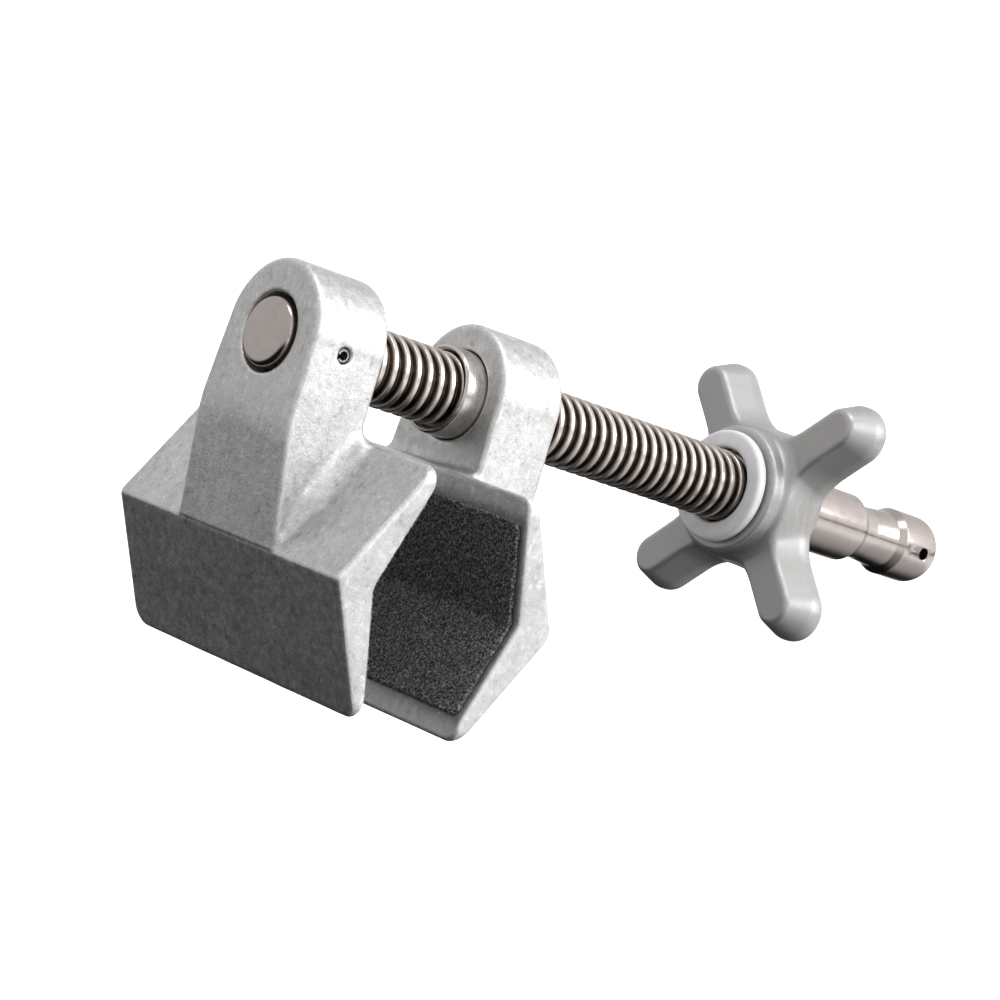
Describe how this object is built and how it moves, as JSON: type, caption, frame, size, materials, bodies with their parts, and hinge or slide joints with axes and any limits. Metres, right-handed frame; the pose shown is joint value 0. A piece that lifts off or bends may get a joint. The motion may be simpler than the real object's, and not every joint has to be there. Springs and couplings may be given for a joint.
{
  "type": "grip clamp",
  "caption": "Screw clamp whose V-faced jaws hang from a threaded rod, closed by a star knob, with a grooved mounting spud on the rod's far end.",
  "frame": {"origin": "centre of the flat on the free end of the spud", "axes": "+X out of the spud along the screw, away from the jaws; +Z from the jaws up to the screw; +Y along the jaws"},
  "size_m": [0.2056, 0.0762, 0.0936],
  "materials": {
    "screw_steel": "nickel plated, bright crests over darker roots",
    "cast_aluminium": "tumbled raw casting",
    "grip_rubber": "granular non-slip",
    "pin_steel": "spring steel",
    "bushing_steel": "polished",
    "white_plastic": "satin",
    "silver_paint": "satin silver-grey paint",
    "insert_brass": "machined"
  },
  "bodies": {
    "screw_and_fixed_jaw": {"screw_shaft": "screw_steel", "fixed_jaw": "cast_aluminium", "fixed_jaw_pad": "grip_rubber", "roll_pin": "pin_steel"},
    "bushing": {"moving_jaw_bushing": "bushing_steel"},
    "moving_jaw": {"moving_jaw": "cast_aluminium", "moving_jaw_pad": "grip_rubber"},
    "washer": {"knob_washer": "white_plastic"},
    "knob": {"star_knob": "silver_paint", "knob_insert": "insert_brass"}
  },
  "joints": [
    {"name": "jaw_slide", "type": "slide", "parent": "screw_and_fixed_jaw", "child": "bushing", "axis": [1, 0, 0], "range_m": [-0.0227, 0.029]},
    {"name": "jaw_swivel", "type": "hinge", "parent": "bushing", "child": "moving_jaw", "pos_m": [-0.14, 0, 0], "axis": [1, 0, 0], "continuous": true},
    {"name": "knob_travel", "type": "slide", "parent": "screw_and_fixed_jaw", "child": "washer", "axis": [1, 0, 0], "range_m": [-0.03492, 0]},
    {"name": "knob_spin", "type": "hinge", "parent": "washer", "child": "knob", "pos_m": [-0.058, 0, 0], "axis": [1, 0, 0], "range_deg": [-3960.5, 0.5]}
  ],
  "couplings": [
    {"joint": "knob_spin", "follows": "knob_travel", "rad_per_m": 1979}
  ]
}
